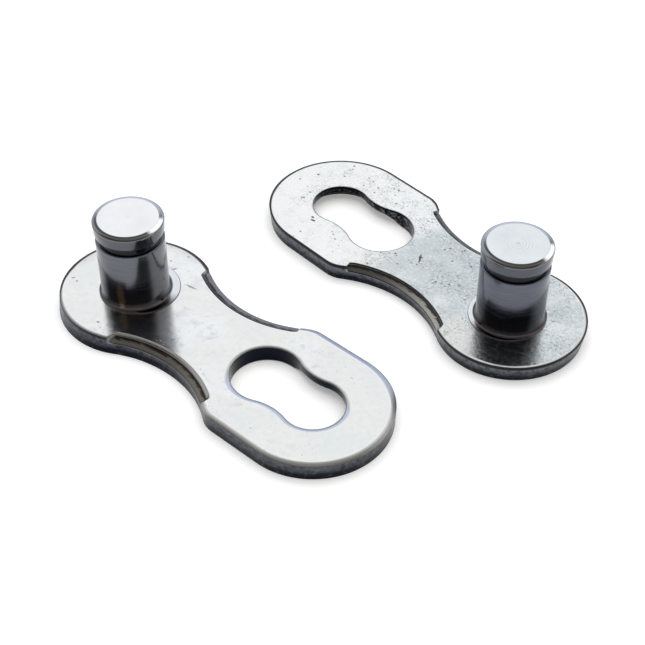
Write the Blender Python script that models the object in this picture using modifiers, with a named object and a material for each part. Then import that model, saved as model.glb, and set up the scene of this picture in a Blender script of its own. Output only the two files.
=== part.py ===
"""Chain connecting link: two matching halves lying flat and apart, pins up.

Each half is a stamped outer plate with one riveted pin at its round end and a keyhole
slot at its long end.  When the two halves are brought face to face, each pin goes through
the wide lobe of the other half's slot and its groove slides into the narrow lobe.
All sizes are in millimetres until the meshes are made, then metres, with Z up.
"""

from math import acos, atan2, cos, degrees, hypot, pi, radians, sin, sqrt

import bmesh
import bpy
from mathutils import Matrix, Vector

MM = 0.001

# How the two halves lie on the table
LEFT_AT = (-9.90, 1.66)
LEFT_TURN = -42.0
RIGHT_AT = (9.74, -0.41)
RIGHT_TURN = 133.0

# Plate
PITCH = 12.70
PLATE_THICK = 0.98
EDGE_ROUND = 0.13
PIN_END_R = 4.00
SLOT_END_R = 4.04
SLOT_END_AT = 12.70
WAIST_AT = 5.17
WAIST_HALF = 2.60
SHOULDER_BLEND_R = 1.50

# Pressed bevel along both sides of the waist, on the inner face
BEVEL_HALF = 2.12
BEVEL_ARC_R = 6.70
BEVEL_FROM = 1.74
BEVEL_TO = 8.56
BEVEL_STEP = 0.06
BEVEL_SLOPE = 0.60
BEVEL_REACH = 1.60

# Keyhole slot
SLOT_WIDE_AT = 9.55
SLOT_WIDE_R = 1.90
SLOT_LOCK_R = 1.66
SLOT_NECK_ARC_R = 2.80
WEB_THICK = 0.47
POCKET_HALF = 2.15

# Pin
PIN_RISE = 4.78
PIN_R = 1.80
PIN_RIM_R = 1.86
PIN_TOP_R = 1.61
RIM_DROP = 0.14
RIM_SIDE = 0.12
HEAD_FOOT_R = 1.82
HEAD_TALL = 0.76
HEAD_BREAK = 0.04
GROOVE_R = 1.64
GROOVE_LONG = 0.42
GROOVE_BREAK = 0.03
SHOULDER_BREAK = 0.07
SHOULDER_IN = 0.03
SHOULDER_DROP = 0.02
FOOT_R = 2.00
FOOT_TALL = 0.42
LIP_R = 2.19
LIP_TALL = 0.05
LIP_SLOPE = 0.05
TAIL_R = 1.60
TAIL_HEAD_R = 1.88
TAIL_HEAD_TALL = 0.28

# Clearances
PIN_HOLE_GAP = 0.02
PIN_SEAT_GAP = 0.01
PIN_TAIL_LIFT = 0.02

# How far the cutters stand past the faces they cut
CUT_PAST = 1.00
HOLE_PAST = 0.20

# Fineness
ARC_STEP = 6.0
PIN_SIDES = 60
CONE_SIDES = 120


def arc_points(center, radius, start, end, step=ARC_STEP):
    """Points on an arc from start to end degrees, both ends included."""
    count = max(2, int(round(abs(end - start) / step)) + 1)
    points = []
    for i in range(count):
        angle = radians(start + (end - start) * i / (count - 1))
        points.append((center[0] + radius * cos(angle), center[1] + radius * sin(angle)))
    return points


def joined(*runs):
    """Runs of points put end to end, without doubled points."""
    points = []
    for run in runs:
        for point in run:
            if not points or hypot(point[0] - points[-1][0], point[1] - points[-1][1]) > 1e-4:
                points.append(point)
    if hypot(points[0][0] - points[-1][0], points[0][1] - points[-1][1]) < 1e-4:
        points.pop()
    return points


def closed_by_mirror(upper):
    """An upper outline, from left to right, closed by its mirror image below the X axis."""
    lower = [(x, -y) for x, y in reversed(upper) if abs(y) > 1e-6]
    return upper + lower


def waist_arc():
    """Centre height and radius of the waist arc that is tangent to the round pin end."""
    a = WAIST_AT
    h = WAIST_HALF
    r = PIN_END_R
    radius = (a * a + h * h - r * r) / (2.0 * (r - h))
    return h + radius, radius


def plate_outline():
    """Plate outline: round pin end, concave waist, blended shoulder, flank, round slot end."""
    high, radius = waist_arc()
    touch = degrees(atan2(high, WAIST_AT))
    blend_y = SLOT_END_R - SHOULDER_BLEND_R
    reach = radius + SHOULDER_BLEND_R
    blend_x = WAIST_AT + sqrt(reach ** 2 - (high - blend_y) ** 2)
    down = degrees(atan2(blend_y - high, blend_x - WAIST_AT))
    pin_end = arc_points((0.0, 0.0), PIN_END_R, 180.0, touch)
    waist = arc_points((WAIST_AT, high), radius, touch - 180.0, down)
    shoulder = arc_points((blend_x, blend_y), SHOULDER_BLEND_R, down + 180.0, 90.0, 9.0)
    slot_end = arc_points((SLOT_END_AT, 0.0), SLOT_END_R, 90.0, 0.0)
    return closed_by_mirror(joined(pin_end, waist, shoulder, slot_end))


def slot_outline():
    """Keyhole outline: wide lobe, necked by two arcs, narrow locking lobe."""
    span = PITCH - SLOT_WIDE_AT
    wide = SLOT_WIDE_R + SLOT_NECK_ARC_R
    lock = SLOT_LOCK_R + SLOT_NECK_ARC_R
    along = (span ** 2 + wide ** 2 - lock ** 2) / (2.0 * span)
    high = sqrt(wide ** 2 - along ** 2)
    first = degrees(atan2(high, along))
    second = degrees(atan2(high, along - span))
    lobe = arc_points((SLOT_WIDE_AT, 0.0), SLOT_WIDE_R, 180.0, first)
    neck = arc_points((SLOT_WIDE_AT + along, high), SLOT_NECK_ARC_R, first + 180.0, second + 180.0)
    end = arc_points((PITCH, 0.0), SLOT_LOCK_R, second, 0.0)
    return closed_by_mirror(joined(lobe, neck, end))


def pocket_outline():
    """Recess for the other half's pin head, from the wide lobe round the locking lobe."""
    start = [(SLOT_WIDE_AT, 0.0), (SLOT_WIDE_AT, POCKET_HALF)]
    end = arc_points((PITCH, 0.0), POCKET_HALF, 90.0, 0.0)
    return closed_by_mirror(joined(start, end))


def put_in(collection, obj):
    """Link an object to one collection only."""
    for other in list(obj.users_collection):
        other.objects.unlink(obj)
    collection.objects.link(obj)
    return obj


def flat_solid(name, outlines, low, high, edge=0.0):
    """A flat solid between two heights from closed outlines, holes included."""
    curve = bpy.data.curves.new(name, "CURVE")
    curve.dimensions = "2D"
    curve.fill_mode = "BOTH"
    curve.extrude = ((high - low) / 2.0 - edge) * MM
    curve.bevel_depth = edge * MM
    curve.bevel_resolution = 1
    curve.offset = -edge * MM
    for outline in outlines:
        spline = curve.splines.new("POLY")
        spline.points.add(len(outline) - 1)
        for point, place in zip(spline.points, outline):
            point.co = (place[0] * MM, place[1] * MM, 0.0, 1.0)
        spline.use_cyclic_u = True
    holder = bpy.data.objects.new(name + "_curve", curve)
    bpy.context.scene.collection.objects.link(holder)
    holder.location.z = (high + low) / 2.0 * MM
    bpy.context.view_layer.update()
    seen = holder.evaluated_get(bpy.context.evaluated_depsgraph_get())
    mesh = bpy.data.meshes.new_from_object(seen)
    mesh.name = name
    mesh.transform(holder.matrix_world)
    bpy.data.objects.remove(holder)
    bpy.data.curves.remove(curve)
    body = bmesh.new()
    body.from_mesh(mesh)
    bmesh.ops.remove_doubles(body, verts=body.verts, dist=1e-7)
    bmesh.ops.recalc_face_normals(body, faces=body.faces)
    body.to_mesh(mesh)
    body.free()
    return bpy.data.objects.new(name, mesh)


def turned(name, profile, sides):
    """A turned solid from a profile of (radius, height) that runs from the top down."""
    mesh = bpy.data.meshes.new(name)
    points = [(r * MM, 0.0, z * MM) for r, z in profile]
    edges = [(i, i + 1) for i in range(len(points) - 1)]
    mesh.from_pydata(points, edges, [])
    obj = bpy.data.objects.new(name, mesh)
    screw = obj.modifiers.new("turn", "SCREW")
    screw.axis = "Z"
    screw.angle = 2.0 * pi
    screw.steps = sides
    screw.render_steps = sides
    screw.use_merge_vertices = True
    screw.merge_threshold = 1e-7
    return obj


def block(name, low, high):
    """A plain block between two corners."""
    mesh = bpy.data.meshes.new(name)
    body = bmesh.new()
    size = [(b - a) * MM for a, b in zip(low, high)]
    middle = [(a + b) / 2.0 * MM for a, b in zip(low, high)]
    bmesh.ops.create_cube(body, size=1.0)
    bmesh.ops.scale(body, vec=Vector(size), verts=body.verts)
    bmesh.ops.translate(body, vec=Vector(middle), verts=body.verts)
    body.to_mesh(mesh)
    body.free()
    return bpy.data.objects.new(name, mesh)


def combine(target, tool, operation):
    """Add an exact Boolean to the target."""
    step = target.modifiers.new(tool.name, "BOOLEAN")
    step.object = tool
    step.operation = operation
    step.solver = "EXACT"


def finished_mesh(obj, name):
    """The object's mesh with all its modifiers worked in."""
    bpy.context.view_layer.update()
    seen = obj.evaluated_get(bpy.context.evaluated_depsgraph_get())
    mesh = bpy.data.meshes.new_from_object(seen)
    mesh.name = name
    return mesh


def bevel_cutter(cutters, name, side):
    """Cone-bottomed disc that presses the sloped band into one side of the waist."""
    inner = PLATE_THICK - BEVEL_STEP
    core = BEVEL_ARC_R - BEVEL_REACH
    low = inner - BEVEL_SLOPE * BEVEL_REACH
    high = PLATE_THICK + CUT_PAST
    wide = 2.0 * SLOT_END_R
    profile = [(0.0, high), (BEVEL_ARC_R, high)]
    profile += [(BEVEL_ARC_R, inner), (core, low), (0.0, low)]
    disc = put_in(cutters, turned(name, profile, CONE_SIDES))
    disc.location = (WAIST_AT * MM, side * (BEVEL_HALF + BEVEL_ARC_R) * MM, 0.0)
    corners = ((BEVEL_FROM, -wide, low - CUT_PAST), (BEVEL_TO, wide, high + CUT_PAST))
    keep = put_in(cutters, block(name + "_span", corners[0], corners[1]))
    keep.display_type = "WIRE"
    keep.hide_render = True
    combine(disc, keep, "INTERSECT")
    return disc


def hole_profile():
    """Hole for the pin's tail, opened out at the outer face for the riveted head."""
    wide = TAIL_HEAD_R + PIN_HOLE_GAP
    narrow = TAIL_R + PIN_HOLE_GAP
    spread = (wide - narrow) / TAIL_HEAD_TALL
    top = PLATE_THICK + CUT_PAST
    low = (wide + HOLE_PAST * spread, -HOLE_PAST)
    return [(0.0, top), (narrow, top), (narrow, TAIL_HEAD_TALL), low, (0.0, -HOLE_PAST)]


def pin_profile():
    """Pin from its top down: rim, head, groove, body, flared foot, lip, tail, riveted head."""
    top = PLATE_THICK + PIN_RISE
    head = top - HEAD_TALL
    shoulder = head - GROOVE_LONG
    seat = PLATE_THICK + PIN_SEAT_GAP
    points = [(0.0, top), (PIN_TOP_R, top)]
    for i in range(1, 4):
        angle = radians(30.0 * i)
        out = PIN_TOP_R + (PIN_RIM_R - PIN_TOP_R) * sin(angle)
        points.append((out, top - RIM_DROP * (1.0 - cos(angle))))
    points.append((PIN_RIM_R, top - RIM_DROP - RIM_SIDE))
    points.append((HEAD_FOOT_R, head + HEAD_BREAK))
    points.append((HEAD_FOOT_R - HEAD_BREAK, head))
    points.append((GROOVE_R, head - GROOVE_BREAK))
    points.append((GROOVE_R, shoulder))
    points.append((PIN_R - SHOULDER_IN, shoulder - SHOULDER_DROP))
    points.append((PIN_R, shoulder - SHOULDER_BREAK))
    for i in range(5):
        part = i / 4.0
        out = PIN_R + (FOOT_R - PIN_R) * (1.0 - sqrt(1.0 - part * part))
        points.append((out, seat + LIP_TALL + FOOT_TALL * (1.0 - part)))
    points.append((LIP_R - LIP_SLOPE, seat + LIP_TALL))
    points.append((LIP_R, seat))
    points.append((TAIL_R, seat))
    points.append((TAIL_R, TAIL_HEAD_TALL))
    reach = (TAIL_HEAD_TALL - PIN_TAIL_LIFT) / TAIL_HEAD_TALL
    points.append((TAIL_R + (TAIL_HEAD_R - TAIL_R) * reach, PIN_TAIL_LIFT))
    points.append((0.0, PIN_TAIL_LIFT))
    return points


def steel(name, color, roughness):
    """Bright satin steel of one piece."""
    material = bpy.data.materials.new(name)
    material.use_nodes = True
    shader = material.node_tree.nodes["Principled BSDF"]
    shader.inputs["Base Color"].default_value = (*color, 1.0)
    shader.inputs["Roughness"].default_value = roughness
    shader.inputs["Metallic"].default_value = 1.0
    return material


def shaded(mesh):
    """Smooth shading with sharp edges kept where faces meet at more than 35 degrees."""
    mesh.shade_smooth()
    mesh.set_sharp_from_angle(angle=radians(35.0))


def place_of_center():
    """Middle of the box round both halves, from the four end circles."""
    ends = []
    for at, turn in ((LEFT_AT, LEFT_TURN), (RIGHT_AT, RIGHT_TURN)):
        way = radians(turn)
        ends.append((at[0], at[1], PIN_END_R))
        ends.append((at[0] + SLOT_END_AT * cos(way), at[1] + SLOT_END_AT * sin(way), SLOT_END_R))
    center = []
    for axis in (0, 1):
        low = min(end[axis] - end[2] for end in ends)
        high = max(end[axis] + end[2] for end in ends)
        center.append((low + high) / 2.0)
    return center


def main():
    for obj in list(bpy.data.objects):
        bpy.data.objects.remove(obj)
    scene = bpy.context.scene
    link = bpy.data.collections.new("chain_connecting_link")
    cutters = bpy.data.collections.new("cutters")
    scene.collection.children.link(link)
    scene.collection.children.link(cutters)

    blank = put_in(cutters, flat_solid("plate_blank", [plate_outline(), slot_outline()], 0.0, PLATE_THICK, EDGE_ROUND))
    tools = [
        bevel_cutter(cutters, "bevel_cutter_a", 1.0),
        bevel_cutter(cutters, "bevel_cutter_b", -1.0),
        put_in(cutters, flat_solid("pocket_cutter", [pocket_outline()], -CUT_PAST, PLATE_THICK - WEB_THICK)),
        put_in(cutters, turned("pin_hole_cutter", hole_profile(), PIN_SIDES)),
    ]
    for tool in tools:
        combine(blank, tool, "DIFFERENCE")
    plate_mesh = finished_mesh(blank, "plate")
    pin_maker = put_in(cutters, turned("pin_turning", pin_profile(), PIN_SIDES))
    pin_mesh = finished_mesh(pin_maker, "pin")
    for helper in [blank, pin_maker] + tools:
        helper.display_type = "WIRE"
        helper.hide_render = True

    center = place_of_center()
    looks = {
        "left": (LEFT_AT, LEFT_TURN, (0.80, 0.81, 0.82), (0.62, 0.63, 0.66)),
        "right": (RIGHT_AT, RIGHT_TURN, (0.74, 0.76, 0.77), (0.60, 0.61, 0.64)),
    }
    for side, (at, turn, plate_color, pin_color) in looks.items():
        half = bpy.data.objects.new(side + "_half", None)
        half.empty_display_size = PIN_R * MM
        half.location = ((at[0] - center[0]) * MM, (at[1] - center[1]) * MM, 0.0)
        half.rotation_euler = (0.0, 0.0, radians(turn))
        link.objects.link(half)
        for part, source, color, roughness in (
            ("plate", plate_mesh, plate_color, 0.24),
            ("pin", pin_mesh, pin_color, 0.16),
        ):
            mesh = source.copy()
            mesh.name = side + "_" + part
            mesh.materials.clear()
            mesh.materials.append(steel(side + "_" + part, color, roughness))
            shaded(mesh)
            piece = bpy.data.objects.new(side + "_" + part, mesh)
            link.objects.link(piece)
            piece.parent = half


main()
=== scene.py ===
"""Looks of the chain connecting link: two stamped halves lying apart, pins up.

Each plate is one closed surface: a profile carried round its outline, a second one carried
round the keyhole slot, a third round the pin hole, and flat faces stretched between them.
Each pin is a turned profile.  Sizes are in millimetres until they go into a mesh, and colours
are linear.
"""

from math import atan2, cos, degrees, pi, radians, sin, sqrt

import bpy
import numpy as np
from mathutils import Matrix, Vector

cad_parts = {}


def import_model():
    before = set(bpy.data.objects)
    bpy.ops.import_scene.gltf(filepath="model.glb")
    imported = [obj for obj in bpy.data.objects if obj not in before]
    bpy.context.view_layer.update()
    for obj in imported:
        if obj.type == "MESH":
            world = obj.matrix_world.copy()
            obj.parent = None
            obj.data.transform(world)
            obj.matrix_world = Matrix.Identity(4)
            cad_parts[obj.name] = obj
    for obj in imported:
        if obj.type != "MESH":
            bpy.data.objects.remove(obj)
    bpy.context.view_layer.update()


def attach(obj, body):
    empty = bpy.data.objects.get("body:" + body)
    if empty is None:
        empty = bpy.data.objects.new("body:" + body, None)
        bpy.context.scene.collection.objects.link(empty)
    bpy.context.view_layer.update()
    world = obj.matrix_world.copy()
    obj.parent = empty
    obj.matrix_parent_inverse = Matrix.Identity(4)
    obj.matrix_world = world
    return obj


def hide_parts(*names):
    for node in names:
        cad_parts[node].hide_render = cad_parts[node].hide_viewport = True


MM = 0.001

# How the halves lie, as in the part's source: the pin's place, and the turn in degrees
LEFT = ((-9.90, 1.66), -42.0)
RIGHT = ((9.74, -0.41), 133.0)
MIDDLE = (-0.08, 1.0201166)

# Plate
PITCH = 12.70
PLATE_THICK = 0.98
PIN_END_R = 4.00
SLOT_END_R = 4.04
SLOT_END_AT = 12.70
WAIST_AT = 5.17
WAIST_HALF = 2.60
SHOULDER_BLEND_R = 1.50
OUTLINE_STEP = 0.042
FACE_INSET = 0.75
FACE_RINGS = 3
SEAM_STEPS = 40

# Section of the plate's edge: how many rows each stretch has, its small corner, how far flat
# rows lie before an edge, the gap between a bend and the row next to it, and its wall
ROLL_ROWS = 8
LIP_ROWS = 7
WALL_ROWS = 6
FOOT_ROWS = 7
CORNER = 0.012
PLAIN_EASE = 0.10
BAND_EASE = 0.08
EASES = (0.055, 0.02)
BEND_GAP = 0.03
UPPER_WALL_END = 0.37
LOWER_WALL_START = 0.40
LOW_FLAT_EASE = 0.02
LOW_FLAT_INSET = 0.30

# Rows of that section counted down from the face: the last flat one, the lip, the corner or
# the step, the pressed floor, and the wall
FLAT_ROW = 3
LIP_FROM, LIP_TO = 4, 10
CORNER_ROW = 12
FLOOR_FROM, FLOOR_TO = 11, 20
PRESSED_WALL_FROM = 21
WALL_TO = 33

# Pressed band along the waist: where it starts and stops, over what length, and how deep it is
# on the near and far side
BAND_FROM = 1.66
BAND_FROM_LONG = 0.42
BAND_TO = 8.58
BAND_TO_LONG = 0.12
BAND_FALL_NEAR = 0.35
BAND_FALL_FAR = 0.20
BAND_CORNER_R = 0.42
BAND_TILT = (15.0, 34.0)

# Step of the pressed band: inset and drop of its two rows.  Its floor: drop where it starts,
# shares of the band's width from the step out, shares of its fall, and the wall's start below
BAND_STEP = ((0.012, 0.03), (0.03, 0.055))
BAND_FLOOR_START = 0.06
BAND_ACROSS = np.array([0.92, 0.82, 0.66, 0.50, 0.34, 0.20, 0.10, 0.03, 0.0])
BAND_DOWN = np.array([0.0, 0.11, 0.27, 0.42, 0.57, 0.70, 0.80, 0.91, 1.05])
BAND_WALL_START = 0.05
BAND_END_WIDTH = 0.25

# Where the far side begins, as the share by which an edge faces away from the viewer, and
# stretches of the half's length over which the lean of the wall changes
FAR_RIM = (-0.4, 0.6)
FAR_SLOT = (-0.3, 0.5)
WAIST_BEGINS = (0.5, 2.5)
WAIST_ENDS = (8.0, 9.0)
LOWER_LEAN_CHANGES = (4.0, 9.0)

# Rows over which a rolled edge takes on its colour, near and far; how soft the painted dark
# outline, a painted shade along the top edge, is and the depths between which it fades; and the
# strength on the near side of the painted highlight line on the last flat row, full on the far side
ROLL_NEAR, ROLL_FAR = 5.0, 1.0
LINE_SOFT = 0.02
LINE_DEEP = (0.20, 0.14)
NEAR_PAINTED_SHEEN = 0.2

# Slot and the recess round its narrow lobe
SLOT_WIDE_AT = 9.55
SLOT_WIDE_R = 1.90
SLOT_LOCK_R = 1.66
SLOT_NECK_ARC_R = 2.80
SLOT_HEART = 11.10
SLOT_STEP = 0.03
SLOT_TIGHT = 0.05
SLOT_TILT = (9.0, 32.0)
SLOT_ROLL_ROWS = 6
POCKET_HALF = 2.15
WEB_FLOOR = 0.51
WEB_LOW = 0.06
WEB_RISE = 1.30

# Section round the slot: how far flat rows lie before its edge, its corner, shares of the wall
# from the corner down, the web's lower edge, shares of its underside and its fall, and insets
# and shares of height of the recess wall and the outer face
SLOT_EASES = (0.10, 0.02)
SLOT_CORNER = 0.010
SLOT_WALL_AT = (0.0, 0.06, 0.35, 0.7, 0.95)
WEB_EDGE = 0.02
WEB_AT = (0.5, 1.0)
WEB_FALL = 0.004
RECESS_AT = ((0.0, 0.55), (0.0, 0.22), (0.004, 0.04), (0.010, 0.0), (0.016, 0.0))

# Rows of that section counted down from the face
SLOT_FLAT_ROW = 1
SLOT_CORNER_ROW = 8
SLOT_WALL_TO = 18

# Pin and its hole
PIN_TOP = 5.76
PIN_TOP_R = 1.61
PIN_RIM_R = 1.86
RIM_DROP = 0.14
HEAD_FOOT_R = 1.82
HEAD_BOTTOM = 5.00
GROOVE_R = 1.64
GROOVE_BOTTOM = 4.58
PIN_R = 1.80
FOOT_R = 1.92
FOOT_TALL = 0.42
LIP_R = 2.19
LIP_TALL = 0.05
LIP_LEAST = 0.03
LIP_BELOW = 1.20
PIN_SEAT = 0.99
TAIL_R = 1.60
TAIL_HEAD_R = 1.88
TAIL_HEAD_TALL = 0.28
HOLE_GAP = 0.02
TAIL_LIFT = 0.02
TAIL_CORNER = 0.03
BORE_BREAK = 0.03
BORE_EASE = 0.10
BORE_MIDDLE = 0.60

# Rounding of the pin's corners, and the fall of its groove's root
HEAD_ROUND = 0.05
ROOT_ROUND = 0.04
LEDGE_ROUND = 0.03
SHOULDER_ROUND = 0.07
LIP_ROUND = 0.03
ROOT_FALL = 0.02

# How finely the pin is cut: radii on its end face, rows of the rim, the rounded corners and the
# foot, heights on its body, columns round it, and the radius by its poles
END_FACE_AT = (0.3, 0.9)
END_FACE_EDGE = 0.05
RIM_ROWS = 9
ROUND_ROWS = 5
FOOT_FLARE_ROWS = 12
BODY_AT = (4.0, 3.0, 2.2)
PIN_COLUMNS = 320
POLE_R = 0.004
SAME_POINT = 1e-5

# Painted glint, a painted highlight on the pin's rim: its direction, and the angles off it where it
# begins and is full
PAINTED_GLINT_WAY = -24.0
PAINTED_GLINT_HALF = (27.0, 14.0)

# How each plate's edges look.  roll: width of the rolled top edge at the pin end, the slot end
# and the slot end's far side.  tilt: its first and last slope.  share: where along the half one
# width changes to the other.  band: width of the pressed band and of its soft lip.  foot: lower
# edge.  line: width of the painted dark outline, painted shade along the top edge, on the near
# and far side.  slot: rolled edge of the slot on its far and near side.  upper: how far the wall
# leans out at the top, all round, on the far side, and more along the far waist.  lower: the
# same at the bottom, at the pin end and the slot end.
LEFT_LOOK = {
    "roll": (0.15, 0.26, 0.38), "tilt": (17.0, 27.0), "share": (5.5, 10.0),
    "band": (0.38, 0.17), "foot": 0.03, "line": (0.015, 0.24), "slot": (0.15, 0.28),
    "upper": (0.02, 0.06, 0.04), "lower": (0.15, 0.0)}
RIGHT_LOOK = {
    "roll": (0.20, 0.11, 0.11), "tilt": (10.0, 18.0), "share": (1.5, 6.0),
    "band": (0.40, 0.08), "foot": 0.04, "line": (0.10, 0.19), "slot": (0.05, 0.10),
    "upper": (0.05, 0.06, 0.08), "lower": (-0.10, -0.03)}

# How each pin looks.  lip: the way in which the lip is squeezed out at its foot, and how far.
# body and end: colours of its side and its faced end.  ringed: strength of the rings on that
# end.  The last two: how black it is painted low down, which is painted shade, with the share of
# that left on its right; and the strength of the brown streak, a painted reflection.
LEFT_PIN = {
    "lip": (5.0, 0.43), "body": (0.125, 0.130, 0.150), "end": (0.86, 0.87, 0.88),
    "ringed": 0.12, "painted_low_shading": (0.75, 0.1), "painted_brown_reflection_strength": 0.70}
RIGHT_PIN = {
    "lip": (190.0, 0.24), "body": (0.110, 0.116, 0.142), "end": (0.76, 0.80, 0.82),
    "ringed": 0.40, "painted_low_shading": (0.85, 0.8), "painted_brown_reflection_strength": 0.0}

# Brown streak on a pin, a painted reflection: its place on the half, and its half sizes
BROWN_REFLECTION_AT = (0.75, -1.64, 1.85)
BROWN_REFLECTION_SIZE = (0.24, 0.24, 0.90)

# Single marks on the faces: place on the half, half sizes and turn
LEFT_NICKS = (
    ((2.13, 1.99), (0.34, 0.06), 10.0), ((-3.10, -1.68), (0.10, 0.05), 60.0),
    ((-2.75, -1.74), (0.07, 0.05), 0.0), ((0.52, -3.14), (0.09, 0.06), 20.0),
    ((0.27, 3.64), (0.10, 0.04), 30.0), ((-0.21, 2.75), (0.08, 0.05), 0.0),
    ((0.39, 2.40), (0.20, 0.06), 65.0))
LEFT_SMUDGES = (
    ((4.30, 0.17), (0.22, 0.14), 20.0), ((5.11, 0.39), (0.15, 0.11), 0.0),
    ((5.58, 0.21), (0.18, 0.12), 70.0))
RIGHT_NICKS = (
    ((12.70, 2.20), (0.13, 0.08), 20.0), ((12.92, 2.02), (0.09, 0.08), 0.0),
    ((6.32, 0.17), (0.34, 0.07), 127.0), ((15.6, -0.9), (0.07, 0.06), 0.0))
NICK_SOFT = 0.35
SMUDGE_SOFT = 1.2

# Length of the half over which the colours of its rolled edge change
LENGTHWISE = (-3.0, 13.0)

# Colours of the left plate; a list gives stops along a range, and a band its inner colour,
# outer colour and the strength of the painted dark line, a painted shade, on its corner
LEFT_COLORS = {
    "face": [(0.30, (0.76, 0.785, 0.785)), (0.50, (0.80, 0.80, 0.785)), (0.70, (0.83, 0.85, 0.86))],
    "mottle": (0.62, 0.65, 0.67),
    "stain": (0.52, 0.57, 0.64),
    # Painted highlight line on the last flat row
    "painted_sheen": (0.93, 0.94, 0.95),
    "speck": (0.22, 0.24, 0.26),
    "nick": (0.18, 0.19, 0.20),
    "smudge": (0.42, 0.47, 0.53),
    # Rolled edge: a warm grey on the near side and paler and bluish on the far side, a painted
    # reflection
    "near_roll": [(0.0, (0.22, 0.22, 0.22)), (0.30, (0.26, 0.255, 0.245)),
                  (0.66, (0.33, 0.323, 0.308)), (1.0, (0.35, 0.343, 0.328))],
    "far_roll": [(0.0, (0.22, 0.22, 0.24)), (0.35, (0.34, 0.35, 0.38)), (0.66, (0.55, 0.59, 0.70))],
    # Band lip and band: near and far copies as painted light and shade
    "near_lip": (0.30, 0.295, 0.275),
    "far_lip": (0.030, 0.032, 0.036),
    "near_band": ((0.030, 0.026, 0.020), (0.165, 0.156, 0.138), 0.4),
    "far_band": ((0.020, 0.022, 0.026), (0.200, 0.200, 0.220), 0.0),
    # Walls darker below: partly the torn zone, partly painted contact shade
    "walls": [(0.05, (0.004, 0.005, 0.009)), (0.30, (0.008, 0.009, 0.016)),
              (0.46, (0.050, 0.054, 0.070)), (0.86, (0.094, 0.098, 0.112))],
    # Painted shade: the dark outline along the top edge
    "line": (0.016, 0.016, 0.020),
    # Painted shade: the slot's walls near-black
    "slot": (0.006, 0.008, 0.014)}

# Colours of the right plate
RIGHT_COLORS = {
    "face": [(0.0, (0.86, 0.87, 0.86)), (0.35, (0.82, 0.84, 0.85)),
             (0.70, (0.58, 0.625, 0.645)), (1.0, (0.52, 0.56, 0.585))],
    "cream": (0.80, 0.78, 0.73),
    "dark_grain": (0.20, 0.23, 0.24),
    "bright_grain": (0.90, 0.92, 0.92),
    "mottle": (0.46, 0.51, 0.54),
    "etched": (0.47, 0.52, 0.55),
    "pit": (0.07, 0.08, 0.085),
    "nick": (0.05, 0.05, 0.055),
    # Painted highlight line on the last flat row
    "painted_sheen": (0.96, 0.97, 0.97),
    "roll": [(0.0, (0.66, 0.65, 0.62)), (0.25, (0.62, 0.61, 0.58)),
             (0.55, (0.55, 0.55, 0.55)), (0.80, (0.45, 0.45, 0.46))],
    # Band lip near-black: a painted shadow under the lip
    "lip": (0.045, 0.042, 0.040),
    # Band: near and far copies as painted light and shade
    "near_band": ((0.044, 0.041, 0.038), (0.40, 0.39, 0.355), 0.9),
    "worn_band": (0.052, 0.048, 0.044),
    "far_band": ((0.020, 0.022, 0.025), (0.150, 0.155, 0.160), 0.5),
    # Walls darker below: partly the torn zone, partly painted contact shade
    "walls": [(0.05, (0.004, 0.004, 0.008)), (0.30, (0.008, 0.009, 0.015)),
              (0.46, (0.074, 0.079, 0.100)), (0.80, (0.138, 0.144, 0.162))],
    # Painted shade: the dark outline along the top edge
    "line": (0.010, 0.010, 0.013),
    # Painted shade: the slot's walls near-black, darkest near the face
    "slot": [(0.40, (0.007, 0.007, 0.010)), (0.80, (0.003, 0.003, 0.005)),
             (0.93, (0.001, 0.001, 0.002))],
    "torn_slot": (0.120, 0.122, 0.132)}

# Colours of both plates' sheared walls, and of the painted dark line, a painted shade, on the pressed
# band's corner
TORN_DARK = (0.010, 0.011, 0.015)
TORN_BRIGHT = (0.190, 0.195, 0.215)
PAINTED_BAND_LINE = (0.010, 0.010, 0.012)

# Colours of both pins
PIN_COLORS = {
    # Painted shade: the colour that the pin's side darkens to low down
    "painted_low_shade": (0.014, 0.014, 0.018),
    "head": (0.040, 0.040, 0.044),
    "warm": (0.10, 0.080, 0.068),
    # Painted reflection: the brown streak up from the foot
    "painted_brown_reflection": (0.34, 0.22, 0.13),
    "foot": (0.12, 0.10, 0.10),
    # Lip: dark on the near side and pale on the far side, painted light and shade
    "near_lip": (0.06, 0.055, 0.055),
    "far_lip": (0.70, 0.73, 0.77),
    # Painted shade in the groove
    "groove": (0.012, 0.012, 0.015),
    # Rim: dark on the near side, paler and bluish at the back, as painted light and shade
    "rim": [(0.0, (0.15, 0.145, 0.14)), (0.30, (0.24, 0.24, 0.25)),
            (0.62, (0.33, 0.35, 0.40)), (0.95, (0.50, 0.53, 0.63))],
    # Painted shade: a dark line at the rim's inner edge on the near side
    "painted_rim_line": (0.03, 0.03, 0.034),
    # Painted highlight: the glint on the rim
    "painted_glint": (0.95, 0.96, 0.97)}

# Light that the metal mirrors, by where it comes from
SKY_SCREEN = (1.04, 1.05, 1.06)
SKY_LOW = (0.50, 0.55, 0.68)
SKY_TOP = (0.48, 0.48, 0.46)
SKY_FRONT = (0.085, 0.085, 0.085)
SKY_FRONT_LOW = (0.60, 0.60, 0.60)
SKY_EAST = (1.20, 1.18, 1.08)

# Floor and lamp, in metres and watts
FLOOR_HALF = 0.9
FLOOR_COLOR = (0.90, 0.90, 0.90)
FLOOR_ROUGH = 0.9
FLOOR_GLOW = 0.29
SOFT_BOX_SIDE = 0.40
SOFT_BOX_AT = (0.0, 0.02, 0.32)
SOFT_BOX_WATTS = 0.62

# Camera: lens and its sensor, and where it stands and looks
LENS_LONG = 79.04
SENSOR_WIDE = 36.0
NEAR_CLIP = 0.001
FAR_CLIP = 10.0
EYE_AT = (0.08, -55.7397, 50.7971)
LOOK_AT = (0.08, -1.0201, 0.0)


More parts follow.
